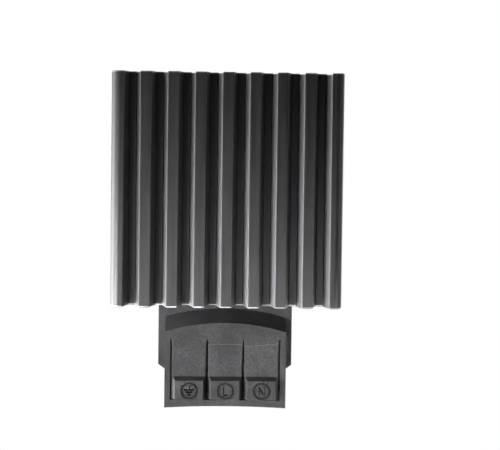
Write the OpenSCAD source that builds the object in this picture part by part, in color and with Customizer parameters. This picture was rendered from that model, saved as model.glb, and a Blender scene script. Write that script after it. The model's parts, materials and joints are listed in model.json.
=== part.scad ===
// Enclosure heater for a 35 mm mounting rail.
// Frame: +Z up, the ribbed front faces -Y, +X to the viewer's right.
// Origin: middle of the rail seat, on the plane where the rail touches the clip.

/* [Extrusion] */
// Width of the ribbed extrusion
profile_w = 70; // [66:1:90]
// Length of the extrusion, cut from bar
profile_len = 71; // [65:1:140]
// Depth of the extrusion from the rib fronts to the flat back
profile_depth = 41; // [39:1:50]
// Number of front ribs
rib_count = 9; // [5:1:9]
// Distance from rib to rib
rib_pitch = 8.2; // [8:0.1:8.2]
// Width of a rib's flat front
rib_front = 3.25; // [2.5:0.05:3.5]
// Height of a rib over the floor between ribs
rib_height = 8; // [5:0.5:9]
// Sideways run of a rib's sloped flank
rib_flank = 1.3; // [0.6:0.1:1.5]
// Radius of the extrusion's outer corners
corner_r = 2; // [1:0.25:3]
// Size of the chamfer filed on the rib fronts at both cut ends
end_chamfer = 0.4; // [0.2:0.05:0.8]
// Thickness of the front wall behind the ribs
front_wall = 3; // [2:0.25:4]
// Thickness of the side walls
side_wall = 2.5; // [2:0.25:4]
// Thickness of the rear wall
rear_wall = 3; // [2:0.25:4]
// Thickness of the walls around the heating chamber
chamber_wall = 3; // [2:0.25:4]
// Inside width of the heating chamber
chamber_w = 30; // [29:0.5:32]
// Inside depth of the heating chamber
chamber_depth = 9; // [8:0.25:10]
// Length of the fins behind the chamber
fin_len = 7; // [3:0.5:8]
// Thickness of the fins behind the chamber
fin_t = 1.8; // [1:0.2:2.5]
// Distance between the fins behind the chamber
fin_pitch = 6; // [5:0.5:6]

/* [Screw ports] */
// Distance from the middle to each screw port
port_x = 14; // [13:0.25:14.5]
// Radius of the bore in a screw port
port_bore_r = 1.75; // [1.4:0.05:1.9]
// Wall of a screw port
port_wall = 1.65; // [1.2:0.05:2]
// Distance from the chamber's back wall to the middle of a screw port
port_set = 2; // [1.6:0.1:2.6]

/* [Terminal base] */
// Width of the terminal base
base_w = 40.7; // [40:0.1:46]
// Depth of the terminal base behind its flange front
base_depth = 23; // [22:0.5:24]
// Height of the terminal base
base_h = 20.2; // [19:0.1:22]
// Thickness of the base's side, front and back walls
base_wall = 2; // [1.5:0.1:2.2]
// Thickness of the base's top plate
base_top = 3; // [2:0.25:4]
// Sideways run of the chamfer on the base's lower corners
base_chamfer_x = 3; // [0.5:0.1:4]
// Height of the chamfer on the base's lower corners
base_chamfer_z = 2.2; // [0.5:0.1:3]
// Radius of the small round recesses in the flange
pip_r = 0.9; // [0.4:0.05:0.95]
// Depth of the round recesses
pip_depth = 0.25; // [0.1:0.05:0.8]
// Distance from the flange's side edge to the middle of a round recess
pip_edge = 1.2; // [1.1:0.05:1.4]
// Height of the round recesses above the base's lower edge
pip_rise = 4.5; // [4:0.1:7]

/* [Terminal cover] */
// Width of the terminal cover
cover_w = 36.4; // [35:0.1:38]
// Width of the cover's front beside the outermost slots
cover_side = 1.7; // [1.2:0.1:2.2]
// How far the cover stands out from the flange
cover_depth = 10; // [9.5:0.25:12]
// Distance from the extrusion down to the top of the cover's front
cover_drop = 4.2; // [4:0.1:5]
// Distance from the extrusion down to the cover's lower edge
cover_reach = 29.3; // [28.6:0.1:33]
// Thickness of the cover's front wall and of the tabs
cover_wall = 2; // [1.6:0.1:2.2]
// Thickness of the cover's sloped top
cover_roof = 1.8; // [1.2:0.1:2]
// Thickness of the cover's back wall
cover_back = 1; // [0.8:0.1:1.4]
// Radius of the arched top
arch_r = 66; // [55:1:90]
// Slope of the arched top, in degrees
arch_slope = 19; // [12:1:19]
// Radius of the hollow lower edge
lower_edge_r = 310; // [150:1:400]
// Thickness of the tray under the base
tray_t = 2; // [1.2:0.1:2.5]

/* [Press tabs] */
// Width of the slots between the tabs
tab_slot = 0.45; // [0.3:0.05:0.6]
// Distance from the extrusion down to the tabs' hinge line
hinge_drop = 9.9; // [9.6:0.1:10.5]
// Length of a tab from its hinge line
tab_len = 17.15; // [16.5:0.05:17.6]
// Running clearance around a tab's hinge bead
hinge_gap = 0.05; // [0.02:0.01:0.1]
// Rounding of a tab's long edges
tab_edge_r = 0.5; // [0.2:0.05:0.6]
// How far the slots run past the hinge line
slot_over = 0.8; // [0.2:0.1:1]
// Height of a pad over its tab
pad_height = 2.5; // [1.5:0.1:3]
// Width of the strip of a tab that is left bare beside its pad
pad_margin = 0.35; // [0.2:0.05:0.8]
// Sideways run of a pad's sloped sides
pad_flank = 0.65; // [0.2:0.05:0.7]
// Height of a pad's front
pad_face = 5.7; // [4:0.1:6.5]
// Downward run of the slope on top of a pad
pad_slope = 1; // [0.4:0.1:1.5]
// Radius of the raised ring around a pole's sign, at the middle of its line
ring_r = 2.3; // [1.8:0.05:2.35]
// Width of the raised ring's line
ring_line = 0.5; // [0.3:0.05:0.6]
// Height of the raised ring's middle above the lower end of its tab
ring_rise = 2.65; // [2.65:0.05:3]
// Height of the raised ring over its pad
ring_height = 0.3; // [0.2:0.05:0.5]
// Radius of the rib on the back of a tab
push_rib_r = 0.6; // [0.4:0.05:0.8]

/* [Clamps] */
// Radius of a wire entry
wire_r = 2.1; // [1.6:0.05:2.15]
// Thickness of a contact bar
bar_t = 0.8; // [0.6:0.1:1]
// Width of a contact bar and of a clamp spring
bar_w = 6; // [5:0.25:7]
// Thickness of a clamp spring
spring_t = 0.4; // [0.3:0.05:0.5]
// Gap between a clamp spring and the rib of its tab
spring_gap = 0.2; // [0.1:0.05:0.4]
// Gap between a contact bar's lower end and the rim of the cover
bar_foot = 0.9; // [0.5:0.1:1.2]
// Distance from the hinge line down to a contact bar's leg
bar_drop = 4; // [3.5:0.1:4.5]
// Distance from the base's top plate down to the end of a contact bar's tail
tail_drop = 6; // [5.5:0.1:6.5]

/* [Heating stack] */
// Width of the ceramic plates and electrodes
stack_w = 26; // [26:0.25:27]
// Thickness of a ceramic plate
ceramic_t = 2.2; // [2:0.1:2.5]
// Height of a ceramic plate
ceramic_h = 22; // [15:0.5:24]
// Gap between the two ceramic plates
ceramic_gap = 3; // [1:0.5:5]
// Thickness of an electrode
electrode_t = 0.5; // [0.3:0.1:0.7]
// Thickness of the insulating sleeve
sleeve_t = 0.4; // [0.2:0.05:0.5]
// Taper of the wedges, from their thin to their thick end
wedge_taper = 1; // [0.5:0.1:1.5]
// Radius of a lead
lead_r = 1; // [0.7:0.05:1.1]
// Thickness of the rubber plugs
plug_t = 3; // [2:0.25:3.5]

/* [Rail clip] */
// Thickness of the clip's spring steel
clip_t = 1.2; // [1:0.1:1.5]
// Width of the clip
clip_w = 28; // [20:1:40]
// Height of the rail
rail_h = 35; // [32:1:40]
// Thickness of the rail's flanges
rail_t = 1; // [1:0.1:1.5]
// Clearance between the clip's hooks and the rail
rail_gap = 0.3; // [0.1:0.05:0.5]
// How far the fixed hook reaches over the rail
hook_reach = 2.8; // [2:0.1:4]
// Distance from the middle to each clip screw
clip_screw_z = 8; // [6:0.5:10]
// Radius of a clip screw's shank
clip_screw_r = 1.25; // [1:0.05:1.5]

/* [Hidden] */
$fn = 64;

// Overlap of a cutting shape past the faces that it cuts
over = 1;
// Gap between a screw's core and its tapped hole
thread_gap = 0.02;
// Gap around a lead in the seal
lead_gap = 0.05;
// Gap around a screw in a through hole
screw_gap = 0.4;
// Room around the contact bars in the window of the base
bar_room = 1;
// Depth of the top plug below the extrusion's end
plug_recess = 0.5;

// Clamp spring: foot under the bar's leg, neck, crown and shoulder over it, knee and toe at the wire
spring_foot = 1.5;
spring_neck = 1.2;
spring_crown = 2.2;
spring_shoulder = 1;
spring_knee = 0.8;
spring_toe = 2.6;
toe_gap = 0.2;

// Electrode tails and lead crimps
stack_rise = 8;
tail_gap = 1;
tail_w = 4;
tail_inset = 0.15;
sleeve_over = 1;
crimp_w = 3;
crimp_h = 4;
crimp_over = 0.5;
crimp_bite = 1;

// Earth bar: its rise behind the base's front wall, and the edge of its ring around the screw head
rise_gap = 2;
ring_edge = 0.2;

// Sprung nose of the clip: foot, bend under the rail and turned-out lip
nose_foot = 0.7;
nose_lean = 0.4;
nose_rise = 2.1;
lip_run = 1.5;
lip_rise = 0.3;

// Depth planes of the extrusion, from back to front
y_back = -clip_t;
y_rear_wall = y_back - rear_wall;
y_rib = y_back - profile_depth;
y_floor = y_rib + rib_height;
y_web = y_floor + front_wall;
y_chamber = y_web + chamber_depth;
y_chamber_back = y_chamber + chamber_wall;
y_port = y_chamber_back + port_set;
port_r = port_bore_r + port_wall;

// Heights of the extrusion's ends
z_top = profile_len / 2;
z_end = -profile_len / 2;

// Planes and heights of the terminal block
y_cover = y_floor - cover_depth;
y_tab_back = y_cover + cover_wall;
y_pad = y_cover - pad_height;
y_base_back = y_floor + base_depth;
z_base = z_end - base_h;
z_base_top = z_end - base_top;
z_hinge = z_end - hinge_drop;
z_tab_end = z_hinge - tab_len;
z_rim = z_tab_end - tab_slot;
z_cover = z_end - cover_reach;
y_hinge = y_cover + cover_wall / 2;
bead_r = cover_wall / 2;

// Poles: earth, live and neutral share the width between the sides of the cover
pole_count = 3;
window_w = cover_w - 2 * cover_side;
pole_pitch = (window_w - tab_slot) / pole_count;
tab_w = pole_pitch - tab_slot;
pad_root = tab_w / 2 - pad_margin;
pad_front = pad_root - pad_flank;

// Clamp planes: the bar lies on the cover's back wall, and the wire passes in front of it
y_bar = y_floor - cover_back - bar_t / 2;
y_wire = y_floor - cover_back - bar_t - wire_r;
z_push = z_tab_end + pad_face + pad_slope;
y_spring = y_tab_back + push_rib_r + spring_gap + spring_t / 2;
z_bar_end = z_rim + bar_foot;
z_bar_leg = z_hinge - bar_drop;
z_bar_tail = z_base_top - tail_drop;

// Heating stack planes, from the front wall of the chamber to its back
y_live = y_web + sleeve_t;
y_ceramic = y_live + electrode_t;
y_neutral = y_ceramic + ceramic_t;
y_sleeve_back = y_neutral + electrode_t + sleeve_t;
y_lead = y_ceramic + ceramic_t / 2;
stack_h = 2 * ceramic_h + ceramic_gap;
z_stack = z_end + plug_t + stack_rise;
z_tail = z_end + plug_t + tail_gap;
lead_live_x = 0;
lead_neutral_x = stack_w / 2 - tail_w / 2 - tail_inset;
z_crimp_top = z_bar_tail + crimp_over;

// Screw sizes
base_head_r = 3.3;
base_head_h = 2.4;
base_grip = 11;
clip_head_r = 2.75;
clip_head_h = 1.2;
// Shares of a screw head's radius: width of the cross recess, and flat top of the crown
recess_share = 0.28;
crown_share = 0.8;

// Bends of the sheet parts: inner radius and number of facets
bend_inside = 0.2;
bend_steps = 6;

function unit(v) = v / norm(v);
function heading(angle) = [cos(angle), sin(angle)];
function pole_x(i) = (i - (pole_count - 1) / 2) * pole_pitch;
function rib_x(i) = (i - (rib_count - 1) / 2) * rib_pitch;

// A box given by its lowest and highest corners
module span(low, high) {
    translate(low)
        cube(high - low);
}

// A rectangle with round corners, given by its lowest and highest corners
module round_rect(low, high, r) {
    translate([low.x + r, low.y])
        square([high.x - low.x - 2 * r, high.y - low.y]);
    translate([low.x, low.y + r])
        square([high.x - low.x, high.y - low.y - 2 * r]);
    for (x = [low.x + r, high.x - r], y = [low.y + r, high.y - r])
        translate([x, y])
            circle(r);
}

// A flat outline in Y and Z carried along X, centred on x = 0
module along_x(width) {
    rotate([90, 0, 90])
        linear_extrude(width, center = true)
            children();
}

// Points of the round bend of radius r at corner b, on the way from a to c
function bend_points(a, b, c, r) =
    let (u = unit(a - b), w = unit(c - b), half = acos(u * w) / 2)
    let (centre = b + unit(u + w) * r / sin(half), reach = r / tan(half))
    let (first = b + u * reach - centre, last = b + w * reach - centre)
    let (turn = sign(cross(first, last)) * (180 - 2 * half), from = atan2(first.y, first.x))
    [for (k = [0 : bend_steps]) centre + r * heading(from + turn * k / bend_steps)];

// Middle line of a bent strip: the path with its corners made round
function strip_line(path, r) =
    [path[0],
     for (i = [1 : len(path) - 2]) each bend_points(path[i - 1], path[i], path[i + 1], r),
     path[len(path) - 1]];

// The line moved sideways by d, along the normal of its neighbours
function strip_side(line, d) =
    [for (i = [0 : len(line) - 1])
        let (along = unit(line[min(i + 1, len(line) - 1)] - line[max(i - 1, 0)]))
        line[i] + d * [-along.y, along.x]];

// A strip of sheet bent along a path in Y and Z
module bent_strip(path, t, width) {
    line = strip_line(path, t / 2 + bend_inside);
    right = strip_side(line, -t / 2);
    along_x(width)
        polygon(concat(strip_side(line, t / 2), [for (i = [len(right) - 1 : -1 : 0]) right[i]]));
}

// A pan-head screw with a cross recess, pointing along +Z from under its head
module pan_screw(core_r, length, head_r, head_h) {
    recess = head_r * recess_share;
    difference() {
        union() {
            cylinder(r = core_r, h = length);
            translate([0, 0, -head_h])
                cylinder(r1 = head_r * crown_share, r2 = head_r, h = head_h / 2);
            translate([0, 0, -head_h / 2])
                cylinder(r = head_r, h = head_h / 2);
        }
        for (turn = [0, 90])
            rotate(turn)
                translate([-head_r / 2, -recess / 2, -head_h - over])
                    cube([head_r, recess, over + head_h / 2]);
    }
}

// Section of the extrusion: ribbed front, flue around the chamber, fins and screw ports
module profile_section() {
    half = profile_w / 2;
    rib_root = rib_front / 2 + rib_flank;
    intersection() {
        round_rect([-half, y_rib], [half, y_back], corner_r);
        union() {
            translate([-half, y_floor])
                square([profile_w, y_back - y_floor]);
            for (i = [0 : rib_count - 1])
                translate([rib_x(i), 0])
                    polygon([[-rib_root, y_floor], [-rib_front / 2, y_rib],
                             [rib_front / 2, y_rib], [rib_root, y_floor]]);
            for (side = [0, 1])
                mirror([side, 0])
                    translate([rib_x(rib_count - 1), y_rib])
                        square([half - rib_x(rib_count - 1), rib_height]);
        }
    }
}

module flue_section() {
    half = profile_w / 2 - side_wall;
    block = chamber_w / 2 + chamber_wall;
    difference() {
        translate([-half, y_web])
            square([2 * half, y_rear_wall - y_web]);
        translate([-block, y_web - over])
            square([2 * block, y_chamber_back - y_web + over]);
        for (i = [-1 : 1])
            translate([i * fin_pitch - fin_t / 2, y_chamber_back - over])
                square([fin_t, fin_len + over]);
        for (x = [-port_x, port_x])
            translate([x, y_port])
                circle(port_r);
    }
}

module heatsink_profile() {
    color("#2b2b2c")
        difference() {
            translate([0, 0, z_end])
                linear_extrude(profile_len)
                    difference() {
                        profile_section();
                        flue_section();
                        translate([-chamber_w / 2, y_web])
                            square([chamber_w, chamber_depth]);
                        for (x = [-port_x, port_x])
                            translate([x, y_port])
                                circle(port_bore_r);
                    }
            for (z = [-clip_screw_z, clip_screw_z])
                translate([0, y_back + over, z])
                    rotate([90, 0, 0])
                        cylinder(r = clip_screw_r + thread_gap, h = rear_wall + 2 * over);
            for (end = [0, 1])
                mirror([0, 0, end])
                    along_x(profile_w + 2 * over)
                        polygon([[y_rib - over, z_end + end_chamfer + over],
                                 [y_rib + end_chamfer + over, z_end - over], [y_rib - over, z_end - over]]);
        }
}

// Outline of the base from the front: a rectangle with its lower corners cut off
module base_outline() {
    half = base_w / 2;
    polygon([[-half, z_end], [half, z_end], [half, z_base + base_chamfer_z],
             [half - base_chamfer_x, z_base], [base_chamfer_x - half, z_base],
             [-half, z_base + base_chamfer_z]]);
}

module terminal_base() {
    half = base_w / 2;
    window = pole_x(pole_count - 1) + bar_w / 2 + bar_room;
    color("#343435")
        difference() {
            translate([0, y_base_back, 0])
                rotate([90, 0, 0])
                    linear_extrude(base_depth)
                        base_outline();
            span([base_wall - half, y_floor + base_wall, z_base - over],
                 [half - base_wall, y_base_back - base_wall, z_base_top]);
            span([-window, y_floor - over, z_base - over],
                 [window, y_floor + base_wall + over, z_bar_leg + bar_t + bar_room]);
            for (x = [-port_x, port_x])
                translate([x, y_port, z_base_top - over])
                    cylinder(r = port_bore_r + screw_gap, h = base_top + 2 * over);
            for (x = [lead_live_x, lead_neutral_x])
                translate([x, y_lead, z_base_top - over])
                    cylinder(r = lead_r + screw_gap, h = base_top + 2 * over);
            for (x = [pip_edge - half, half - pip_edge])
                translate([x, y_floor + pip_depth, z_base + pip_rise])
                    rotate([90, 0, 0])
                        cylinder(r = pip_r, h = pip_depth + over);
        }
}

// The space under the arched, sloping top, less an inset
module under_arch(inset) {
    r = arch_r - inset;
    translate([0, y_cover, z_end - cover_drop])
        rotate([arch_slope, 0, 0])
            translate([0, 0, -arch_r])
                rotate([90, 0, 0])
                    cylinder(r = r, h = 4 * cover_depth, center = true, $fn = 180);
}

module cover_shell() {
    half = cover_w / 2;
    inner = window_w / 2;
    difference() {
        intersection() {
            span([-half, y_cover, z_cover - over], [half, y_floor, z_end]);
            under_arch(0);
        }
        translate([0, y_cover - over, z_cover - lower_edge_r])
            rotate([-90, 0, 0])
                cylinder(r = lower_edge_r, h = cover_wall + over, $fn = 360);
        span([-half - over, y_tab_back, z_cover - 2 * over], [half + over, y_floor + over, z_cover]);
        intersection() {
            span([-inner, y_tab_back, z_rim], [inner, y_floor + over, z_end]);
            under_arch(cover_roof);
        }
    }
    span([-inner, y_floor - cover_back, z_rim - over / 2], [inner, y_floor, z_base]);
    span([-half, y_floor - cover_back, z_base - tray_t], [half, y_base_back, z_base]);
}

module terminal_cover() {
    inner = window_w / 2;
    color("#373738")
        difference() {
            cover_shell();
            span([-inner, y_cover - over, z_rim], [inner, y_tab_back + over, z_hinge]);
            translate([0, y_hinge, z_hinge])
                rotate([0, 90, 0])
                    cylinder(r = bead_r + hinge_gap, h = window_w, center = true);
            for (i = [0 : pole_count])
                translate([pole_x(i) - pole_pitch / 2, 0, 0])
                    span([-tab_slot / 2, y_cover - over, z_hinge - over],
                         [tab_slot / 2, y_tab_back + over, z_hinge + slot_over]);
            for (i = [0 : pole_count - 1])
                translate([pole_x(i), y_wire, z_cover - over])
                    cylinder(r = wire_r, h = z_rim - z_cover + 2 * over);
        }
}

// Raised pad at the end of a tab, with sloped sides and a sloped top
module press_pad() {
    intersection() {
        translate([0, 0, z_tab_end])
            linear_extrude(pad_face + pad_slope)
                polygon([[-pad_root, y_cover], [-pad_front, y_pad], [pad_front, y_pad],
                         [pad_root, y_cover], [pad_root, y_cover + over],
                         [-pad_root, y_cover + over]]);
        along_x(tab_w)
            polygon([[y_cover + over, z_tab_end], [y_pad, z_tab_end], [y_pad, z_tab_end + pad_face],
                     [y_cover, z_tab_end + pad_face + pad_slope],
                     [y_cover + over, z_tab_end + pad_face + pad_slope]]);
    }
}

// Raised ring on the front of a pad
module sign_ring() {
    translate([0, y_pad - ring_height, z_tab_end + ring_rise])
        rotate([-90, 0, 0])
            difference() {
                cylinder(r = ring_r + ring_line / 2, h = ring_height + over);
                translate([0, 0, -over])
                    cylinder(r = ring_r - ring_line / 2, h = ring_height + 3 * over);
            }
}

module press_tab(i) {
    half = tab_w / 2;
    color("#39393a")
        translate([pole_x(i), 0, 0]) {
            translate([0, 0, z_tab_end])
                linear_extrude(tab_len)
                    difference() {
                        round_rect([-half, y_cover], [half, y_tab_back + tab_edge_r], tab_edge_r);
                        translate([-half - over, y_tab_back])
                            square([tab_w + 2 * over, tab_edge_r + over]);
                    }
            translate([0, y_hinge, z_hinge])
                rotate([0, 90, 0])
                    cylinder(r = bead_r, h = tab_w, center = true);
            press_pad();
            sign_ring();
            translate([0, y_tab_back, z_push])
                rotate([0, 90, 0])
                    cylinder(r = push_rib_r, h = bar_w, center = true);
        }
}

// Leaf spring of a clamp: anchored at the bar, down behind the tab and back to the bar
module clamp_spring(i) {
    y_anchor = y_bar - bar_t / 2 - spring_t / 2;
    foot = [y_anchor, z_bar_leg - spring_foot];
    neck = [y_anchor, z_bar_leg + spring_neck];
    crown = [y_anchor - spring_neck, z_bar_leg + spring_crown];
    shoulder = [y_spring, z_bar_leg + spring_shoulder];
    knee = [y_spring, z_push - spring_knee];
    toe = [y_anchor - toe_gap, z_push - spring_toe];
    color("#b9b9b4")
        translate([pole_x(i), 0, 0])
            bent_strip([foot, neck, crown, shoulder, knee, toe], spring_t, bar_w);
}

// Bar that the wire is clamped to, with a leg back into the base and a tail for the lead
module contact_bar(i) {
    y_tail = y_neutral + bar_t / 2;
    color("#c8b27a")
        translate([pole_x(i), 0, 0])
            bent_strip([[y_bar, z_bar_end], [y_bar, z_bar_leg], [y_tail, z_bar_leg],
                        [y_tail, z_bar_tail]], bar_t, bar_w);
}

// The earth bar ends in a ring under the head of the left-hand base screw
module contact_bar_earth() {
    z_ring = z_base_top - bar_t / 2;
    y_rise = y_floor + base_wall + rise_gap;
    ring_r = base_head_r + ring_edge;
    color("#c8b27a")
        difference() {
            union() {
                translate([pole_x(0), 0, 0])
                    bent_strip([[y_bar, z_bar_end], [y_bar, z_bar_leg], [y_rise, z_bar_leg],
                                [y_rise, z_ring], [y_port, z_ring]], bar_t, bar_w);
                translate([-port_x, y_port, z_ring - bar_t / 2])
                    cylinder(r = ring_r, h = bar_t);
            }
            translate([-port_x, y_port, z_ring - bar_t])
                cylinder(r = port_bore_r + screw_gap, h = 2 * bar_t);
        }
}

module ptc_elements() {
    color("#8d8a84")
        for (i = [0, 1])
            translate([-stack_w / 2, y_ceramic, z_stack + i * (ceramic_h + ceramic_gap)])
                cube([stack_w, ceramic_t, ceramic_h]);
}

// Sheet electrode as tall as the stack, with a tail down to its lead
module electrode(y, tail_x) {
    color("#c9c9cc") {
        translate([-stack_w / 2, y, z_stack])
            cube([stack_w, electrode_t, stack_h]);
        span([tail_x - tail_w / 2, y, z_tail], [tail_x + tail_w / 2, y + electrode_t, z_stack + over]);
    }
}

module insulation_sleeve() {
    half = stack_w / 2 + sleeve_t;
    z_low = z_stack - sleeve_over;
    z_high = z_stack + stack_h + sleeve_over;
    color("#b5763a")
        difference() {
            span([-half, y_web, z_low], [half, y_sleeve_back, z_high]);
            span([sleeve_t - half, y_live, z_low - over],
                 [half - sleeve_t, y_sleeve_back - sleeve_t, z_high + over]);
        }
}

// One half of the wedge pair; the two share the sloped plane between them
module wedge(y_near, y_far) {
    color("#b4b5b8")
        along_x(stack_w)
            polygon([[y_near[0], z_stack], [y_far[0], z_stack],
                     [y_far[1], z_stack + stack_h], [y_near[1], z_stack + stack_h]]);
}

y_wedge_mid = (y_sleeve_back + y_chamber) / 2;
wedge_plane = [y_wedge_mid - wedge_taper / 2, y_wedge_mid + wedge_taper / 2];

module wedge_seat() {
    wedge([y_sleeve_back, y_sleeve_back], wedge_plane);
}

module pressure_wedge() {
    wedge(wedge_plane, [y_chamber, y_chamber]);
}

// Short insulated lead, crimped to an electrode's tail and to a contact bar's tail
module lead(x) {
    z_low = z_crimp_top - crimp_bite;
    color("#e4e1da") {
        translate([x, y_lead, z_low])
            cylinder(r = lead_r, h = z_tail + crimp_bite - z_low);
        for (z = [z_crimp_top - crimp_h, z_tail])
            translate([x - crimp_w / 2, y_ceramic, z])
                cube([crimp_w, ceramic_t, crimp_h]);
    }
}

module lead_seal() {
    half = chamber_w / 2;
    color("#7c2f22")
        difference() {
            span([-half, y_web, z_end], [half, y_chamber, z_end + plug_t]);
            for (x = [lead_live_x, lead_neutral_x])
                translate([x, y_lead, z_end - over])
                    cylinder(r = lead_r + lead_gap, h = plug_t + 2 * over);
        }
}

module top_plug() {
    half = chamber_w / 2;
    z_plug = z_top - plug_recess;
    color("#7c2f22")
        span([-half, y_web, z_plug - plug_t], [half, y_chamber, z_plug]);
}

module base_screws() {
    color("#c2c3c6")
        for (x = [-port_x, port_x])
            translate([x, y_port, z_base_top - (x < 0 ? bar_t : 0)])
                pan_screw(port_bore_r - thread_gap, base_grip, base_head_r, base_head_h);
}

// Bent clip: a fixed hook over the rail's upper flange, a sprung nose under its lower flange
module rail_clip() {
    y_plate = -clip_t / 2;
    y_hook = rail_t + rail_gap + clip_t / 2;
    z_hook = rail_h / 2 + rail_gap + clip_t / 2;
    color("#9fa2a6")
        difference() {
            bent_strip([[y_hook, z_hook - clip_t / 2 - hook_reach], [y_hook, z_hook],
                        [y_plate, z_hook], [y_plate, -z_hook], [y_hook - nose_foot, -z_hook],
                        [y_hook + nose_lean, nose_rise - z_hook],
                        [y_hook + lip_run, lip_rise - z_hook]],
                       clip_t, clip_w);
            for (z = [-clip_screw_z, clip_screw_z])
                translate([0, over, z])
                    rotate([90, 0, 0])
                        cylinder(r = clip_screw_r + screw_gap, h = clip_t + 2 * over);
        }
}

module clip_screws() {
    color("#c2c3c6")
        for (z = [-clip_screw_z, clip_screw_z])
            translate([0, 0, z])
                rotate([90, 0, 0])
                    pan_screw(clip_screw_r, clip_t + rear_wall, clip_head_r, clip_head_h);
}

heatsink_profile();
terminal_base();
terminal_cover();
press_tab(0);  // press_tab_earth
press_tab(1);  // press_tab_live
press_tab(2);  // press_tab_neutral
clamp_spring(0);  // clamp_spring_earth
clamp_spring(1);  // clamp_spring_live
clamp_spring(2);  // clamp_spring_neutral
contact_bar_earth();
contact_bar(1);  // contact_bar_live
contact_bar(2);  // contact_bar_neutral
ptc_elements();
electrode(y_live, lead_live_x);  // electrode_live
electrode(y_neutral, lead_neutral_x);  // electrode_neutral
insulation_sleeve();
wedge_seat();
pressure_wedge();
lead(lead_live_x);  // lead_live
lead(lead_neutral_x);  // lead_neutral
lead_seal();
top_plug();
base_screws();
rail_clip();
clip_screws();
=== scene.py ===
"""Looks of the enclosure heater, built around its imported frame.

Lengths are in millimetres, apart from those of the stage and the lamps, which are in metres.
The ribbed front faces -Y, +Z is up as the heater hangs on its rail, and +X is to the viewer's right.
"""

import json
import math

import bmesh
import bpy
import numpy as np
from mathutils import Matrix, Vector
from mathutils.geometry import tessellate_polygon


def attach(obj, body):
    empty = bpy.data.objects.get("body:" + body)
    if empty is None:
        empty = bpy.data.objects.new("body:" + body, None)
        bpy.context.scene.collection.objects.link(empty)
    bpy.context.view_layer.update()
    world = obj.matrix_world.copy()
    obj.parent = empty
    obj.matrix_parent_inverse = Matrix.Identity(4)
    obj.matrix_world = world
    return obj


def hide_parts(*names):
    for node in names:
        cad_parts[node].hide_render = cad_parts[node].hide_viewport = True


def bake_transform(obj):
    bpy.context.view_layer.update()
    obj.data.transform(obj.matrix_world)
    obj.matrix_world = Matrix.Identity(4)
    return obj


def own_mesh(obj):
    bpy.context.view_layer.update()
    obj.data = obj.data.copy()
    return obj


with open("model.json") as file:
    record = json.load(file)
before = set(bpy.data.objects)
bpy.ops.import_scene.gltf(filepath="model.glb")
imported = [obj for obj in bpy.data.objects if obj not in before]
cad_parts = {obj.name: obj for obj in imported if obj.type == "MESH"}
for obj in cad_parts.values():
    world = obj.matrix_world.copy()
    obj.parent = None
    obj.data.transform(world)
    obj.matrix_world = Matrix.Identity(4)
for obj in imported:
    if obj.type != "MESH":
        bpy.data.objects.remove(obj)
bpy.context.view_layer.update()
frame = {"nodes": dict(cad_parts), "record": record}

MM = 0.001


# Materials

# Layers of finer noise in a grain, how strong each is beside the one before, and the layers in wide clouds
GRAIN_DETAIL, GRAIN_ROUGHNESS, CLOUD_DETAIL = 3.0, 0.6, 2.0
# Noise swings about its mean, and most of it lies in the range
NOISE_MEAN, NOISE_RANGE = 0.5, (0.25, 0.75)
# How far a surface turns from the eye, from 0 to 1, where the painted sheen begins to pale its colour and
# where it does so fully
SHEEN_RANGE = (0.62, 0.8)


def linear(code):
    """Linear colour from an sRGB hex code such as 3a3a3b, with full alpha."""
    srgb = np.array([int(code[i:i + 2], 16) for i in (0, 2, 4)]) / 255
    rgb = np.where(srgb <= 0.04045, srgb / 12.92, ((srgb + 0.055) / 1.055) ** 2.4)
    return (*rgb.tolist(), 1.0)


def add(tree, kind, inputs=None, **settings):
    """Adds one node: settings go on the node itself and inputs on its sockets, where a socket is linked."""
    made = tree.nodes.new("ShaderNode" + kind)
    for key, value in settings.items():
        setattr(made, key, value)
    for key, value in (inputs or {}).items():
        if isinstance(value, bpy.types.NodeSocket):
            tree.links.new(value, made.inputs[key])
        else:
            made.inputs[key].default_value = value
    return made


def per_metre(size):
    """Noise scale at which one blotch is about as wide as size, in millimetres."""
    return 1 / (size * MM)


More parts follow.
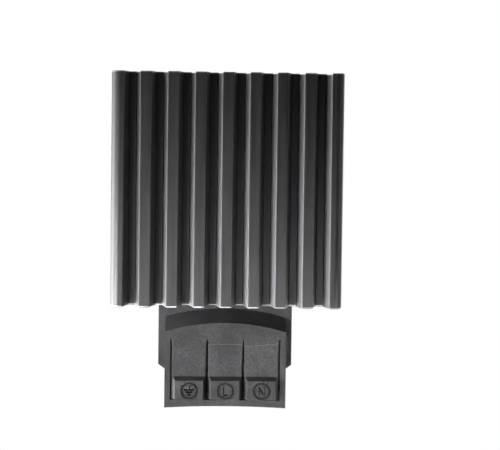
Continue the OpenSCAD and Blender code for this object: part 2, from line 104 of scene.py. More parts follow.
def finish_of(name, low, high, pattern, rough, bump, metallic=0.0, ior=1.5, coarse=None, sheen=None,
              contrast=1.0):
    """A finish of two close colours, mixed by a noise that also varies the gloss and lifts the surface.

    pattern is the noise's blotch size in mm along X, Y and Z, rough the lowest and highest roughness, and
    bump the height of the relief in mm. coarse is a second, wider blotch that only clouds the colour, and
    sheen a paler colour mixed in as the surface turns from the eye, a painted sheen. contrast spreads the
    noise between the two colours.
    """
    material = bpy.data.materials.new(name)
    material.use_nodes = True
    tree = material.node_tree
    tree.nodes.clear()
    place = add(tree, "TexCoord").outputs["Object"]
    scaled = add(tree, "Mapping", {"Vector": place, "Scale": [per_metre(size) for size in pattern]})
    grain = add(tree, "TexNoise", {"Vector": scaled.outputs[0], "Scale": 1.0, "Detail": GRAIN_DETAIL,
                                   "Roughness": GRAIN_ROUGHNESS}).outputs["Fac"]
    swing = NOISE_MEAN / contrast
    shade = add(tree, "MapRange", {"Value": grain, "From Min": NOISE_MEAN - swing,
                                   "From Max": NOISE_MEAN + swing}).outputs[0]
    if coarse:
        cloud = add(tree, "TexNoise", {"Vector": place, "Scale": per_metre(coarse), "Detail": CLOUD_DETAIL})
        shade = add(tree, "Math", {0: shade, 1: cloud.outputs["Fac"]}, operation="MULTIPLY").outputs[0]
        shade = add(tree, "Math", {0: shade, 1: 1 / NOISE_MEAN}, operation="MULTIPLY").outputs[0]
    colour = add(tree, "Mix", {"Factor": shade, "A": linear(low), "B": linear(high)}, data_type="RGBA")
    # Painted sheen: the colour pales towards the sheen colour as the surface turns from the eye
    if sheen:
        facing = add(tree, "LayerWeight").outputs["Facing"]
        sheen_share = add(tree, "MapRange", {"Value": facing, "From Min": SHEEN_RANGE[0], "From Max": SHEEN_RANGE[1]},
                    interpolation_type="SMOOTHSTEP")
        colour = add(tree, "Mix", {"Factor": sheen_share.outputs[0], "A": colour.outputs["Result"],
                                   "B": linear(sheen)}, data_type="RGBA")
    gloss = add(tree, "MapRange", {"Value": grain, "From Min": NOISE_RANGE[0], "From Max": NOISE_RANGE[1],
                                   "To Min": rough[0], "To Max": rough[1]})
    relief = add(tree, "Bump", {"Height": grain, "Strength": 1.0, "Distance": bump * MM})
    shader = add(tree, "BsdfPrincipled", {"Base Color": colour.outputs["Result"],
                                          "Roughness": gloss.outputs[0], "Normal": relief.outputs[0],
                                          "Metallic": metallic, "IOR": ior})
    add(tree, "OutputMaterial", {"Surface": shader.outputs[0]})
    return material


# Extruded aluminium, etched and dyed black: satin, with die lines along the bar, painted sheen at a grazing
# angle.
# Real die lines are much finer and would not show, so they are drawn coarser
anodised = finish_of("black_anodised_aluminium", "060607", "1d1d1e", (0.9, 0.9, 60), (0.33, 0.5), 0.006,
                     coarse=9, sheen="7a7a7b", contrast=2.0)
# The same aluminium where the saw cut it: bare and bright, with fine saw lines across the bar
saw_cut = finish_of("saw_cut_aluminium", "9c9da0", "d0d1d3", (6, 0.3, 0.3), (0.3, 0.5), 0.02, metallic=1.0)
# Glass-filled polyamide from a spark-eroded mould: dull dark grey with a sandy grain, and a painted sheen at
# a grazing angle. The real grain is near 0.1 mm and would not show, so it is drawn coarser
polyamide = finish_of("moulded_black_polyamide", "060607", "2f2f30", (0.5, 0.5, 0.5), (0.74, 0.88), 0.05,
                      ior=1.36, coarse=6, sheen="343435", contrast=1.9)
# The same plastic from a polished part of the mould, on the raised signs: black, with faint highlights
# Its near-black colour, darker than the plastic's own, is partly painted shade along the raised signs
polished_shaded = finish_of("polished_shaded_black_polyamide", "020203", "050506", (0.8, 0.8, 0.8), (0.26, 0.34), 0.004,
                     ior=1.25)
# The same plastic where bending has whitened it: paler, in broken streaks along the bend
whitened = finish_of("stress_whitened_polyamide", "141415", "404041", (1.1, 0.3, 0.3), (0.6, 0.7), 0.012)
# Cold-rolled spring steel: grey, with rolling lines along the strip
spring_steel = finish_of("rolled_spring_steel", "8f9194", "b4b6b9", (0.25, 8, 8), (0.26, 0.4), 0.004,
                         metallic=1.0)
# Zinc-plated screws: bright, with a slightly cloudy passivated skin
zinc_steel = finish_of("zinc_plated_steel", "a9acb0", "d2d5d8", (0.6, 0.6, 0.6), (0.22, 0.36), 0.004,
                       metallic=1.0)
# Stamped brass strip: warm yellow, dulled by handling
brass = finish_of("stamped_brass", "a78a4a", "cdb376", (0.4, 3, 3), (0.28, 0.42), 0.004, metallic=1.0)
# Fired heating ceramic: matt warm grey with fine specks
ceramic = finish_of("fired_ceramic", "7d7973", "989590", (0.3, 0.3, 0.3), (0.7, 0.85), 0.01)
# Mill-finish aluminium strip: pale, with rolling lines
mill_strip = finish_of("mill_finish_aluminium", "b5b6b8", "d6d7d9", (0.3, 6, 6), (0.3, 0.42), 0.003,
                       metallic=1.0)
# Polyimide film: amber and glossy
amber_film = finish_of("polyimide_film", "8d4a15", "b8702c", (2, 2, 2), (0.15, 0.25), 0.002, ior=1.7)
# Silicone lead insulation: off-white and soft looking
silicone_lead = finish_of("white_silicone", "d8d4cb", "ebe8e1", (0.5, 0.5, 3), (0.5, 0.65), 0.004, ior=1.41)
# Moulded silicone plug: brick red and matt
silicone_plug = finish_of("brick_red_silicone", "5d2118", "7a3024", (0.5, 0.5, 0.5), (0.55, 0.7), 0.01,
                          ior=1.41)

SLOT_FINISH = {
    "anodised_aluminium": anodised,
    "black_plastic": polyamide,
    "spring_steel": spring_steel,
    "zinc_steel": zinc_steel,
    "contact_brass": brass,
    "heating_ceramic": ceramic,
    "bare_aluminium": mill_strip,
    "amber_film": amber_film,
    "lead_silicone": silicone_lead,
    "seal_rubber": silicone_plug,
}


def node_slot(node):
    """The record's material slot of a CAD node."""
    return next(part["material_slot"] for part in frame["record"]["subparts"] if part["node"] == node)


for node, solid in frame["nodes"].items():
    solid.data.materials.clear()
    solid.data.materials.append(SLOT_FINISH[node_slot(node)])


# Helpers for the pieces

def piece(name, points, faces, body, finishes, normals=None, finish_index=None):
    """A mesh piece from points in mm and faces, with its finishes as its material slots.

    It rides on its body; with none it is left free.
    """
    mesh = bpy.data.meshes.new(name)
    mesh.from_pydata((np.asarray(points) * MM).tolist(), [], [list(map(int, face)) for face in faces])
    for finish in finishes:
        mesh.materials.append(finish)
    if finish_index is not None:
        mesh.polygons.foreach_set("material_index", np.asarray(finish_index, dtype=np.int32))
    mesh.polygons.foreach_set("use_smooth", np.ones(len(mesh.polygons), dtype=bool))
    mesh.update()
    if normals is not None:
        mesh.normals_split_custom_set_from_vertices(np.asarray(normals).tolist())
    made = bpy.data.objects.new(name, mesh)
    bpy.context.scene.collection.objects.link(made)
    if body:
        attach(made, body)
    return made


def grid_faces(rows, columns, first=0):
    """Quads of a grid of points stored row by row from the first, its last column joined to its first."""
    across = np.arange(columns)
    after = (across + 1) % columns
    start = first + columns * np.arange(rows - 1)[:, None]
    onward = start + columns
    return np.stack([start + across, start + after, onward + after, onward + across], axis=-1).reshape(-1, 4)


def unit(vectors):
    """Vectors along the last axis, made one long."""
    return vectors / np.linalg.norm(vectors, axis=-1, keepdims=True)


def turned_left(ways):
    """Flat vectors turned left by a right angle."""
    return np.stack([-ways[:, 1], ways[:, 0]], axis=1)


def mitres(ahead, behind):
    """The sideways step at each corner that moves both of its edges left by one, from their unit ways."""
    left, left_before = turned_left(ahead), turned_left(behind)
    return (left + left_before) / (1 + (left * left_before).sum(axis=1, keepdims=True))


def node_box(node):
    """Lowest and highest corner of a CAD node, in mm to four places."""
    vertices = frame["nodes"][node].data.vertices
    places = np.empty(3 * len(vertices), np.float32)
    vertices.foreach_get("co", places)
    places = np.round(places.reshape(-1, 3).astype(float) / MM, 4)
    return places.min(axis=0).tolist(), places.max(axis=0).tolist()


# Extrusion: its CAD node gives its outer sizes
profile_low, (HALF_W, Y_BACK, HALF_LEN) = node_box("heatsink_profile")
Y_RIB = profile_low[1]
RIB_COUNT, RIB_PITCH, RIB_WIDTH, RIB_HEIGHT, RIB_FLANK = 9, 8.2, 3.25, 8.0, 1.3
RIB_FRONT = RIB_WIDTH / 2
RIB_ROOT = RIB_FRONT + RIB_FLANK
FRONT_WALL, SIDE_WALL, REAR_WALL, CHAMBER_WALL = 3.0, 2.5, 3.0, 3.0
CHAMBER_HALF, CHAMBER_DEPTH = 15.0, 9.0
FIN_LENGTH, FIN_PITCH, FIN_HALF = 7.0, 6.0, 0.9
PORT_X, PORT_SET, PORT_BORE, PORT_WALL = 14.0, 2.0, 1.75, 1.65
PORT_R = PORT_BORE + PORT_WALL
BLOCK_HALF = CHAMBER_HALF + CHAMBER_WALL
FLUE_HALF = HALF_W - SIDE_WALL
Y_FLOOR = Y_RIB + RIB_HEIGHT
Y_WEB = Y_FLOOR + FRONT_WALL
Y_CHAMBER = Y_WEB + CHAMBER_DEPTH
Y_BLOCK = Y_CHAMBER + CHAMBER_WALL
Y_PORT = Y_BLOCK + PORT_SET
Y_FIN = Y_BLOCK + FIN_LENGTH
Y_REAR = Y_BACK - REAR_WALL
# Corner radii of the section: of the outline, the ribs, the flue and chamber, and the fins' feet and tips
FRONT_R, BACK_R = 2.6, 2.0
RIB_LEFT_R, RIB_RIGHT_R, RIB_ROOT_R = 0.16, 0.12, 0.35
FLUE_R, FOOT_R, TIP_R = 0.4, 0.2, 0.3
LEAST_R = 0.02
ARC_STEPS = 5
# How far the edges of the sawn ends are filed back: a file reaches the ribs' fronts, but hardly the floors
RIB_FILED, FLOOR_FILED, OTHER_FILED = 0.42, 0.06, 0.2
FILE_TURN = np.radians([0, 30, 60, 90])[:, None, None]
MIRROR_Z = np.array([1, 1, -1])
SAME_POINT = 1e-6
SATIN, BARE = 0, 1


def rounded_loop(corners, radii, inset):
    """A closed outline with round corners, and its normals out of the metal.

    The metal lies on the left of the way round. Each corner moves into the metal by its inset, along the
    mitre of its two edges; an outer corner's radius shrinks by the inset and an inner corner's grows. Then
    each corner becomes an arc about the point that lies one radius from both edges.
    """
    corners = np.asarray(corners, float)
    radii = np.broadcast_to(np.asarray(radii, float), len(corners))
    inset = np.broadcast_to(np.asarray(inset, float), len(corners))
    ahead = unit(np.roll(corners, -1, axis=0) - corners)
    behind = np.roll(ahead, 1, axis=0)
    corners = corners + inset[:, None] * mitres(ahead, behind)
    outer = behind[:, 0] * ahead[:, 1] - behind[:, 1] * ahead[:, 0] > 0
    radii = np.maximum(np.where(outer, radii - inset, radii + inset), LEAST_R)
    half = np.arccos(np.clip((-behind * ahead).sum(axis=1), -1, 1)) / 2
    centres = corners + unit(ahead - behind) * (radii / np.sin(half))[:, None]
    start = corners - behind * (radii / np.tan(half))[:, None] - centres
    sweep = np.where(outer, 1, -1) * (math.pi - 2 * half)
    angle = np.arctan2(start[:, 1], start[:, 0])[:, None] + sweep[:, None] * np.linspace(0, 1, ARC_STEPS + 1)
    spoke = np.stack([np.cos(angle), np.sin(angle)], axis=-1)
    points = centres[:, None] + radii[:, None, None] * spoke
    normals = spoke * np.where(outer, 1, -1)[:, None, None]
    return points.reshape(-1, 2), normals.reshape(-1, 2)


def front_corners():
    """Corners of the extrusion's outline, their radii and how far they are filed.

    The ribs run from left to right, and the flat back follows. The two end ribs pass into the side walls, so
    their outer flanks are left out.
    """
    x = (np.arange(RIB_COUNT) - (RIB_COUNT - 1) / 2) * RIB_PITCH
    rib_x = x[:, None] + np.array([-RIB_ROOT, -RIB_FRONT, RIB_FRONT, RIB_ROOT])
    rib_y = np.broadcast_to([Y_FLOOR, Y_RIB, Y_RIB, Y_FLOOR], rib_x.shape)
    ribs = np.stack([rib_x, rib_y], axis=-1).reshape(-1, 2)[2:-2]
    rib_r = np.tile([RIB_ROOT_R, RIB_LEFT_R, RIB_RIGHT_R, RIB_ROOT_R], RIB_COUNT)[2:-2]
    rib_filed = np.tile([FLOOR_FILED, RIB_FILED, RIB_FILED, FLOOR_FILED], RIB_COUNT)[2:-2]
    right_and_back = [[HALF_W, Y_RIB], [HALF_W, Y_BACK], [-HALF_W, Y_BACK]]
    corners = np.concatenate([[[-HALF_W, Y_RIB]], ribs, right_and_back])
    radii = np.concatenate([[FRONT_R], rib_r, [FRONT_R, BACK_R, BACK_R]])
    filed = np.concatenate([[RIB_FILED], rib_filed, [RIB_FILED, OTHER_FILED, OTHER_FILED]])
    return corners, radii, filed


def flue_corners():
    """Corners of the air flue round the heating chamber, its fins and its screw ports, and their radii."""
    port = (PORT_R, Y_PORT + PORT_R, PORT_R)
    fin = (FIN_HALF, Y_FIN, TIP_R)
    bumps = [(-PORT_X, *port), (-FIN_PITCH, *fin), (0.0, *fin), (FIN_PITCH, *fin), (PORT_X, *port)]
    back = [[[x - half, Y_BLOCK], [x - half, tip], [x + half, tip], [x + half, Y_BLOCK]]
            for x, half, tip, _ in bumps]
    back_r = [[FOOT_R, tip_r, tip_r, FOOT_R] for *_, tip_r in bumps]
    left = [[-FLUE_HALF, Y_WEB], [-BLOCK_HALF, Y_WEB], [-BLOCK_HALF, Y_BLOCK]]
    right_and_rear = [[BLOCK_HALF, Y_BLOCK], [BLOCK_HALF, Y_WEB], [FLUE_HALF, Y_WEB], [FLUE_HALF, Y_REAR],
                      [-FLUE_HALF, Y_REAR]]
    corners = np.concatenate([left, *back, right_and_rear])
    radii = np.concatenate([[FLUE_R, FLUE_R, FOOT_R], *back_r, [FOOT_R, FLUE_R, FLUE_R, FLUE_R, FLUE_R]])
    return corners[::-1], radii[::-1]


def box_corners(x, y, half_x, half_y):
    """Corners of a hole's box about a middle point, the metal on the left of the way round."""
    return np.array([[-half_x, -half_y], [-half_x, half_y], [half_x, half_y], [half_x, -half_y]]) + [x, y]


def filed_wall(corners, radii, filed):
    """One outline of the section carried straight along Z, and its normals, both as rows of points.

    At both ends the outline draws back into the metal along a quarter of an ellipse, which is the filed edge:
    inset e * (1 - sin t) at a distance h * (1 - cos t) from the end, for t from 0 to 90 degrees, with e the
    inset of each corner and h the largest of them. Where two arcs meet in one point, it is kept once.
    """
    insets = (1 - np.sin(FILE_TURN[..., 0])) * np.atleast_1d(filed)
    rings, outward = map(np.stack, zip(*(rounded_loop(corners, radii, inset) for inset in insets)))
    apart = np.linalg.norm(rings[0] - np.roll(rings[0], 1, axis=0), axis=1) > SAME_POINT
    rings, outward = rings[:, apart], outward[:, apart]
    level = np.ones((1, rings.shape[1], 1))
    heights = np.max(filed) * (1 - np.cos(FILE_TURN)) - HALF_LEN
    low = np.concatenate([rings, heights * level], axis=-1)
    tilt = np.concatenate([outward * np.sin(FILE_TURN), -np.cos(FILE_TURN) * level], axis=-1)
    return np.concatenate([low, low[::-1] * MIRROR_Z]), np.concatenate([tilt, tilt[::-1] * MIRROR_Z])


def extrusion(name, body):
    """The bar of aluminium: a wall for each outline of its section, and flat ends filled between them.

    Only the straight run of each wall keeps the dyed finish. The filed edges and the ends are bare.
    """
    chamber_y = (Y_WEB + Y_CHAMBER) / 2
    loops = [
        front_corners(),
        (*flue_corners(), OTHER_FILED),
        (box_corners(0, chamber_y, CHAMBER_HALF, CHAMBER_DEPTH / 2), FLUE_R, OTHER_FILED),
        (box_corners(-PORT_X, Y_PORT, PORT_BORE, PORT_BORE), PORT_BORE, OTHER_FILED),
        (box_corners(PORT_X, Y_PORT, PORT_BORE, PORT_BORE), PORT_BORE, OTHER_FILED),
    ]
    points, normals, faces, finish_index, bottom, top = [], [], [], [], [], []
    first = 0
    for loop in loops:
        wall, outward = filed_wall(*loop)
        rows, columns = wall.shape[:2]
        points.append(wall.reshape(-1, 3))
        normals.append(outward.reshape(-1, 3))
        faces.extend(grid_faces(rows, columns, first))
        finish = np.full((rows - 1, columns), BARE)
        finish[rows // 2 - 1] = SATIN
        finish_index.append(finish.ravel())
        bottom.append(first + np.arange(columns))
        top.append(bottom[-1] + (rows - 1) * columns)
        first += rows * columns
    points, normals = np.concatenate(points), np.concatenate(normals)
    fill = np.array(tessellate_polygon([[Vector(place) for place in points[ring]] for ring in bottom]))
    bottom, top = np.concatenate(bottom), np.concatenate(top)
    across = points[bottom[fill]]
    facing = np.cross(across[:, 1] - across[:, 0], across[:, 2] - across[:, 0])[:, 2]
    fill = fill[:, ::-1] if facing.sum() > 0 else fill
    faces = [*faces, *bottom[fill], *top[fill][:, ::-1]]
    finish_index = np.concatenate([*finish_index, np.full(2 * len(fill), BARE)])
    bar = piece(name, points, faces, body, [anodised, saw_cut], normals, finish_index)
    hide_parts("heatsink_profile")
    return bar


extrusion("ribbed_extrusion", "heater")


# Mouldings: copies of CAD nodes with rounded edges

BASE_EDGE, COVER_EDGE, TAB_EDGE, LEAF_EDGE = 0.25, 0.28, 0.2, 0.05
# Closer points are merged, flatter faces are joined, and sharper edges are rounded, crisp ones less
MERGE_GAP = 0.002
FLAT_ANGLE, SHARP_ANGLE = math.radians(0.5), math.radians(30)
CRISP_SHARE = 0.4
ROUND_STEPS = 2
# Between the sides of the cover's windows, whose edges are crisp, and its outer sides
CRISP_HALF = 17.0


def softened(node, name, body, width, crisp=None):
    """A merged copy of a CAD node whose sharp edges are rounded over a width in mm, as a tool leaves them.

    Edges whose middle, in mm, crisp says yes to are rounded over a smaller share of the width.
    """
    mesh = frame["nodes"][node].data.copy()
    mesh.name = name
    shape = bmesh.new()
    shape.from_mesh(mesh)
    bmesh.ops.remove_doubles(shape, verts=shape.verts, dist=MERGE_GAP * MM)
    bmesh.ops.dissolve_limit(shape, angle_limit=FLAT_ANGLE, verts=shape.verts, edges=shape.edges)
    share = shape.edges.layers.float.new("bevel_weight_edge")
    for edge in shape.edges:
        if len(edge.link_faces) == 2 and edge.calc_face_angle() > SHARP_ANGLE:
            middle = (edge.verts[0].co + edge.verts[1].co) / 2 / MM
            edge[share] = CRISP_SHARE if crisp and crisp(middle) else 1.0
    shape.to_mesh(mesh)
    shape.free()
    if "custom_normal" in mesh.attributes:
        mesh.attributes.remove(mesh.attributes["custom_normal"])
    mesh.polygons.foreach_set("use_smooth", np.ones(len(mesh.polygons), dtype=bool))
    made = bpy.data.objects.new(name, mesh)
    bpy.context.scene.collection.objects.link(made)
    rounding = made.modifiers.new("edge_rounding", "BEVEL")
    rounding.width = width * MM
    rounding.segments = ROUND_STEPS
    rounding.limit_method = "WEIGHT"
    rounding.harden_normals = True
    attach(made, body)
    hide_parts(node)
    return made


softened("terminal_base", "base_moulding", "heater", BASE_EDGE)
softened("terminal_cover", "cover_moulding", "heater", COVER_EDGE,
         crisp=lambda middle: abs(middle.x) < CRISP_HALF)


# Press tabs and the raised signs on their pads

COVER_W, COVER_SIDE, COVER_DEPTH = 36.4, 1.7, 10.0
HINGE_DROP, TAB_LENGTH, TAB_SLOT, PAD_HEIGHT = 9.9, 17.15, 0.45, 2.5
Y_COVER = Y_FLOOR - COVER_DEPTH
Y_PAD = Y_COVER - PAD_HEIGHT
Z_HINGE = -HALF_LEN - HINGE_DROP
SIGN_STROKES = {
    "earth": [[(0, 1.55), (0, 0.25)], [(-1.45, 0.25), (1.45, 0.25)], [(-1.0, -0.5), (1.0, -0.5)],
              [(-0.5, -1.25), (0.5, -1.25)]],
    "live": [[(-0.7, 1.4), (-0.7, -1.3), (0.8, -1.3)]],
    "neutral": [[(-0.85, -1.4), (-0.85, 1.4)], [(-0.85, 1.2), (0.85, -1.2)], [(0.85, -1.4), (0.85, 1.4)]],
}
POLE_PITCH = (COVER_W - 2 * COVER_SIDE - TAB_SLOT) / len(SIGN_STROKES)
POLES = {"earth": -POLE_PITCH, "live": 0.0, "neutral": POLE_PITCH}
TAB_HALF = (POLE_PITCH - TAB_SLOT) / 2
# Edges that lie farther behind the pad's front than this are crisp
PAD_REACH = 2.0
# Faces that stand out of the pad's front by more than this are the ring of its sign
RING_START = 0.05
# The sign's middle over the tab's lower end
SIGN_RISE = 2.65
SIGN_Z = Z_HINGE - TAB_LENGTH + SIGN_RISE
SIGN_LINE, SIGN_HEIGHT = 0.62, 0.3
RING_R, RING_LINE, RING_STEPS = 2.3, 0.66, 72
# The half-round section, from one foot in the pad over the crown to the other foot
SIGN_LEAN = np.radians([-100, -70, -45, -22, 0, 22, 45, 70, 100])


def press_tab(pole):
    """A tab's moulding, crisp behind its pad and polished on the ring of its sign, whose darker colour is
    partly painted shade.
    """
    tab = softened("press_tab_" + pole, pole + "_tab_moulding", pole + "_tab", TAB_EDGE,
                   crisp=lambda middle: middle.y > Y_PAD + PAD_REACH)
    tab.data.materials.append(polished_shaded)
    centres = np.empty(3 * len(tab.data.polygons), np.float32)
    tab.data.polygons.foreach_get("center", centres)
    # The ring's faces take the polished finish, whose darker colour is partly painted shade
    on_ring = centres.reshape(-1, 3)[:, 1] < (Y_PAD - RING_START) * MM
    tab.data.polygons.foreach_set("material_index", on_ring.astype(np.int32))
    return tab


def raised_ring():
    """A raised ring of moulding on the pad's front: a half-round section carried round a circle."""
    turn = np.linspace(0, 2 * math.pi, RING_STEPS, endpoint=False)[:, None]
    reach = RING_R + np.sin(SIGN_LEAN) * RING_LINE / 2
    depth = Y_PAD - np.cos(SIGN_LEAN) * SIGN_HEIGHT
    points = np.stack([reach * np.cos(turn), depth + 0 * turn, reach * np.sin(turn)], axis=-1)
    rows, columns = points.shape[:2]
    faces = grid_faces(rows + 1, columns) % (rows * columns)
    return points.reshape(-1, 3), list(faces)


def raised_line(path):
    """A raised line of moulding on the pad's front: a half-round section carried along a flat open path.

    Each path point moves the section sideways along the mitre of the path there, and the line ends in a face
    at each end.
    """
    path = np.asarray(path, float)
    across = np.sin(SIGN_LEAN) * SIGN_LINE / 2
    proud = np.cos(SIGN_LEAN) * SIGN_HEIGHT
    step = unit(np.diff(path, axis=0))
    mitre = mitres(np.concatenate([step, step[-1:]]), np.concatenate([step[:1], step]))
    flat = path[:, None] + across[None, :, None] * mitre[:, None]
    depth = np.broadcast_to(Y_PAD - proud, flat.shape[:2])
    points = np.stack([flat[..., 0], depth, flat[..., 1]], axis=-1)
    rows, columns = points.shape[:2]
    faces = [*grid_faces(rows, columns), np.arange(columns)[::-1], (rows - 1) * columns + np.arange(columns)]
    return points.reshape(-1, 3), faces


def sign(pole, x):
    """The ring and the strokes of one pole's sign, as one piece on its tab."""
    lines = [raised_ring(), *(raised_line(stroke) for stroke in SIGN_STROKES[pole])]
    points, faces, first = [], [], 0
    for line_points, line_faces in lines:
        points.append(line_points + [x, 0, SIGN_Z])
        faces += [np.asarray(face) + first for face in line_faces]
        first += len(line_points)
    # The signs take the polished finish, whose darker colour is partly painted shade
    made = piece(pole + "_sign", np.concatenate(points), faces, pole + "_tab", [polished_shaded])
    shape = bmesh.new()
    shape.from_mesh(made.data)
    bmesh.ops.recalc_face_normals(shape, faces=shape.faces)
    shape.to_mesh(made.data)
    shape.free()
    made.data.polygons.foreach_set("use_smooth", np.zeros(len(made.data.polygons), dtype=bool))
    return made


for pole, x in POLES.items():
    press_tab(pole)
    sign(pole, x)


# Living hinges

WEB_HALF, WEB_RISE = 0.36, 0.2
# Half the height of each whitened line, and how far its middle lies below the hinge line
LINE_HALF, LINE_DROP = 0.11, 0.95
# Slope and bow of each whitened line
STRESS_LINES = {"live": (0.0, 0.25), "neutral": (0.1, 0.0)}
# Height of each wave in a whitened line, and its turn in radians per mm
SLOW_WAVE, QUICK_WAVE = (0.05, 1.9), (0.03, 4.3)
# A strip's middle stands proud of its feet, which start behind the cover's front, and its back is sunk
STRIP_PROUD, STRIP_FOOT, STRIP_SUNK = 0.03, 0.01, 0.3
# Points along a strip and across it
STRIP_LONG, STRIP_ACROSS = 81, 9


def strip_piece(name, x, middle, half, body, finish):
    """A low strip of plastic across a tab's front: a flat oval section carried along X.

    middle gives the height of its middle line at each place along X, and the front stands proud by the square
    of the cosine across the strip. Its back is sunk into the moulding.
    """
    along = np.linspace(-TAB_HALF, TAB_HALF, STRIP_LONG)[:, None]
    share = np.linspace(-1, 1, STRIP_ACROSS)
    depth = Y_COVER - STRIP_PROUD * np.cos(share * math.pi / 2) ** 2 + STRIP_FOOT
    front = np.stack([along + 0 * share, depth + 0 * along, middle(along) + half * share], axis=-1)
    back = front[:, [-1, 0]] + [0, STRIP_SUNK, 0]
    section = np.concatenate([front, back], axis=1)
    rows, columns = section.shape[:2]
    faces = [*grid_faces(rows, columns)[:, ::-1], np.arange(columns),
             ((rows - 1) * columns + np.arange(columns))[::-1]]
    return piece(name, (section + [x, 0, 0]).reshape(-1, 3), faces, body, [finish])


def hinge_web(pole, x):
    """The thin web that joins a tab to the cover: a level strip over the hinge."""
    web = strip_piece(pole + "_hinge_web", x, lambda along: Z_HINGE + WEB_RISE + 0 * along, WEB_HALF, None,
                      polyamide)
    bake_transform(web)
    return web


def stress_line(pole, x, slope, bow):
    """A whitened line below the web, where the tab has been bent.

    Its middle lies below the hinge line by a drop, a slope along X and a bow that is greatest at the tab's
    middle, and wanders by the sum of two sine waves.
    """
    def middle(along):
        slow = SLOW_WAVE[0] * np.sin(SLOW_WAVE[1] * along + x)
        quick = QUICK_WAVE[0] * np.sin(QUICK_WAVE[1] * along)
        bowed = bow * (1 - (along / TAB_HALF) ** 2)
        return Z_HINGE - LINE_DROP + slope * along + bowed + (slow + quick)
    return strip_piece(pole + "_stress_line", x, middle, LINE_HALF, pole + "_tab", whitened)


for pole, x in POLES.items():
    hinge_web(pole, x)
for pole, (slope, bow) in STRESS_LINES.items():
    stress_line(pole, POLES[pole], slope, bow)


# Clamp springs, which bend back as their tabs are pressed: rounded copies on the heater, each with a mesh of
# its own
for pole in POLES:
    leaf = softened("clamp_spring_" + pole, pole + "_spring_leaf", "heater", LEAF_EDGE)
    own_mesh(leaf)


# Stage: a pale floor well below the hanging heater, whose own glow is seen but doesn't light the heater

FLOOR_R, FLOOR_Z = 0.9, -0.6
FLOOR_RINGS, FLOOR_STEPS = 25, 96
FLOOR_COLOUR, FLOOR_ROUGHNESS, FLOOR_GLOW = linear("e8e8e8"), 0.9, 0.75


def floor_paint():
    """Plain matt paint with a glow of its own."""
    material = bpy.data.materials.new("floor_paint")
    material.use_nodes = True
    shader = material.node_tree.nodes["Principled BSDF"]
    shader.inputs["Base Color"].default_value = FLOOR_COLOUR
    shader.inputs["Roughness"].default_value = FLOOR_ROUGHNESS
    shader.inputs["Emission Color"].default_value = FLOOR_COLOUR
    shader.inputs["Emission Strength"].default_value = FLOOR_GLOW
    return material


def stage_floor(name):
    """A round flat floor: rings of evenly growing radius at one height."""
    reach = FLOOR_R * np.linspace(0, 1, FLOOR_RINGS)[:, None]
    turn = np.linspace(0, 2 * math.pi, FLOOR_STEPS, endpoint=False)
    points = np.stack([reach * np.cos(turn), reach * np.sin(turn), FLOOR_Z + 0 * reach * turn], axis=-1)
    mesh = bpy.data.meshes.new(name)
    mesh.from_pydata(points.reshape(-1, 3).tolist(), [], grid_faces(FLOOR_RINGS, FLOOR_STEPS).tolist())
    mesh.materials.append(floor_paint())
    made = bpy.data.objects.new(name, mesh)
    bpy.context.scene.collection.objects.link(made)
    made.visible_diffuse = False
    made.visible_glossy = False
    return made


stage_floor("floor")


# Light

LIGHT_AIM = Vector((0.0, -0.04, -0.055))
# Azimuth and elevation seen from the heater in degrees, distance and size in metres, power in watts, and the
# angle in degrees that the lamp's grid leaves open, which darkens the heater towards its top
LAMPS = {
    "left_level_light": (-66, 2, 0.60, 0.45, 1.12, 180),
    "left_front_light": (-46, -10, 0.60, 0.45, 0.54, 180),
    "left_side_light": (-95, -8, 0.60, 0.50, 6.35, 180),
    "left_rear_light": (-118, -10, 0.50, 0.25, 1.3, 180),
    "left_near_light": (-85, -5, 0.28, 0.12, 0.097, 44),
    "left_inner_light": (-65, -5, 0.28, 0.14, 0.045, 44),
    "left_key": (-30, -5, 0.28, 0.12, 0.072, 44),
    "low_left_key": (-30, -22, 0.28, 0.08, 0.020, 44),
    "left_soft_light": (-40, -8, 0.30, 0.14, 0.016, 60),
    "block_front_light": (-40, -3, 0.28, 0.06, 0.033, 24),
    "block_low_light": (-4, -50, 0.28, 0.05, 0.004, 12),
    "low_right_fill": (7, -12, 0.60, 0.10, 0.24, 180),
    "right_edge_light": (75, -6, 0.60, 0.25, 0.68, 180),
    "right_rear_light": (138, -10, 0.70, 0.60, 2.6, 180),
    "rear_light": (-160, 25, 0.70, 0.50, 2.0, 180),
    "rear_top_light": (180, 60, 0.70, 0.40, 1.5, 180),
}
# Place and aim in metres, and size, power and grid as above: one lamp for the lower right corner of the ribs'
# front, and one from the right for the side of the terminal block
AIMED_LAMPS = {
    "low_right_key": ((-0.006, -0.32, -0.13), (0.036, -0.04, -0.046), 0.06, 0.0044, 18),
    "block_right_light": ((0.21, -0.24, -0.09), (0.025, -0.035, -0.056), 0.03, 0.006, 12),
}
AMBIENT_STRENGTH, SEEN_STRENGTH = 0.02, 1.0


def lamp(name, place, aim, size, power, grid):
    """A soft square lamp at a place, turned to its aim, whose light a grid keeps within an angle."""
    light = bpy.data.lights.new(name, "AREA")
    light.shape = "RECTANGLE"
    light.size = size
    light.size_y = size
    light.energy = power
    light.spread = math.radians(grid)
    made = bpy.data.objects.new(name, light)
    bpy.context.scene.collection.objects.link(made)
    made.location = place
    made.rotation_euler = (Vector(aim) - Vector(place)).to_track_quat("-Z", "Y").to_euler()
    return made


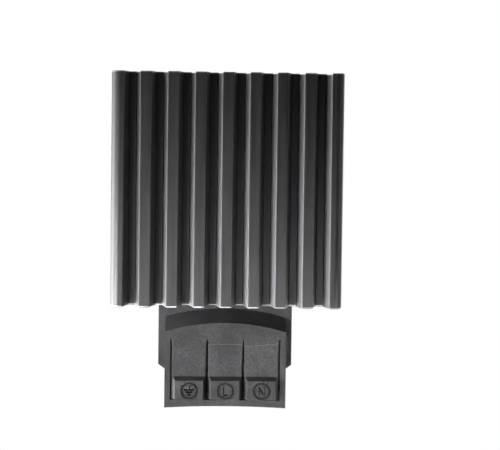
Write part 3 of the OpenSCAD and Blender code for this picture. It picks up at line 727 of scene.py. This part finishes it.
def surround(name):
    """A surround that is white to the camera and gives only a little light."""
    world = bpy.data.worlds.new(name)
    world.use_nodes = True
    tree = world.node_tree
    tree.nodes.clear()
    ambient = add(tree, "Background", {"Color": linear("ffffff"), "Strength": AMBIENT_STRENGTH})
    seen = add(tree, "Background", {"Color": linear("ffffff"), "Strength": SEEN_STRENGTH})
    to_camera = add(tree, "LightPath").outputs["Is Camera Ray"]
    both = add(tree, "MixShader", {0: to_camera, 1: ambient.outputs[0], 2: seen.outputs[0]})
    add(tree, "OutputWorld", {"Surface": both.outputs[0]})
    return world


for name, (azimuth, elevation, distance, size, power, grid) in LAMPS.items():
    a, e = math.radians(azimuth), math.radians(elevation)
    way = Vector((math.sin(a) * math.cos(e), -math.cos(a) * math.cos(e), math.sin(e)))
    lamp(name, LIGHT_AIM + distance * way, LIGHT_AIM, size, power, grid)
for name, settings in AIMED_LAMPS.items():
    lamp(name, *settings)
bpy.context.scene.world = surround("studio")


# Camera, where the photograph's perspective puts it

CAMERA_PLACE = Vector((-8.5, -536.5, 14.3)) * MM
CAMERA_YAW, CAMERA_PITCH, CAMERA_ROLL = map(math.radians, (-1.79, -2.85, 0.74))
SENSOR_W, FOCAL_LENGTH = 36.0, 118.8


def camera_turn():
    """The camera's turn as a matrix: its right, up and back, from the yaw, the pitch and then the roll."""
    right = Vector((math.cos(CAMERA_YAW), math.sin(CAMERA_YAW), 0))
    level = math.cos(CAMERA_PITCH)
    ahead = Vector((-math.sin(CAMERA_YAW) * level, math.cos(CAMERA_YAW) * level, math.sin(CAMERA_PITCH)))
    up = right.cross(ahead)
    rolled_right = math.cos(CAMERA_ROLL) * right + math.sin(CAMERA_ROLL) * up
    rolled_up = math.cos(CAMERA_ROLL) * up - math.sin(CAMERA_ROLL) * right
    return Matrix((rolled_right, rolled_up, -ahead)).transposed().to_4x4()


camera = bpy.data.objects.new("camera", bpy.data.cameras.new("camera"))
bpy.context.scene.collection.objects.link(camera)
camera.data.sensor_width = SENSOR_W
camera.data.lens = FOCAL_LENGTH
camera.matrix_world = Matrix.Translation(CAMERA_PLACE) @ camera_turn()
bpy.context.scene.camera = camera
bpy.context.scene.view_settings.view_transform = "Standard"
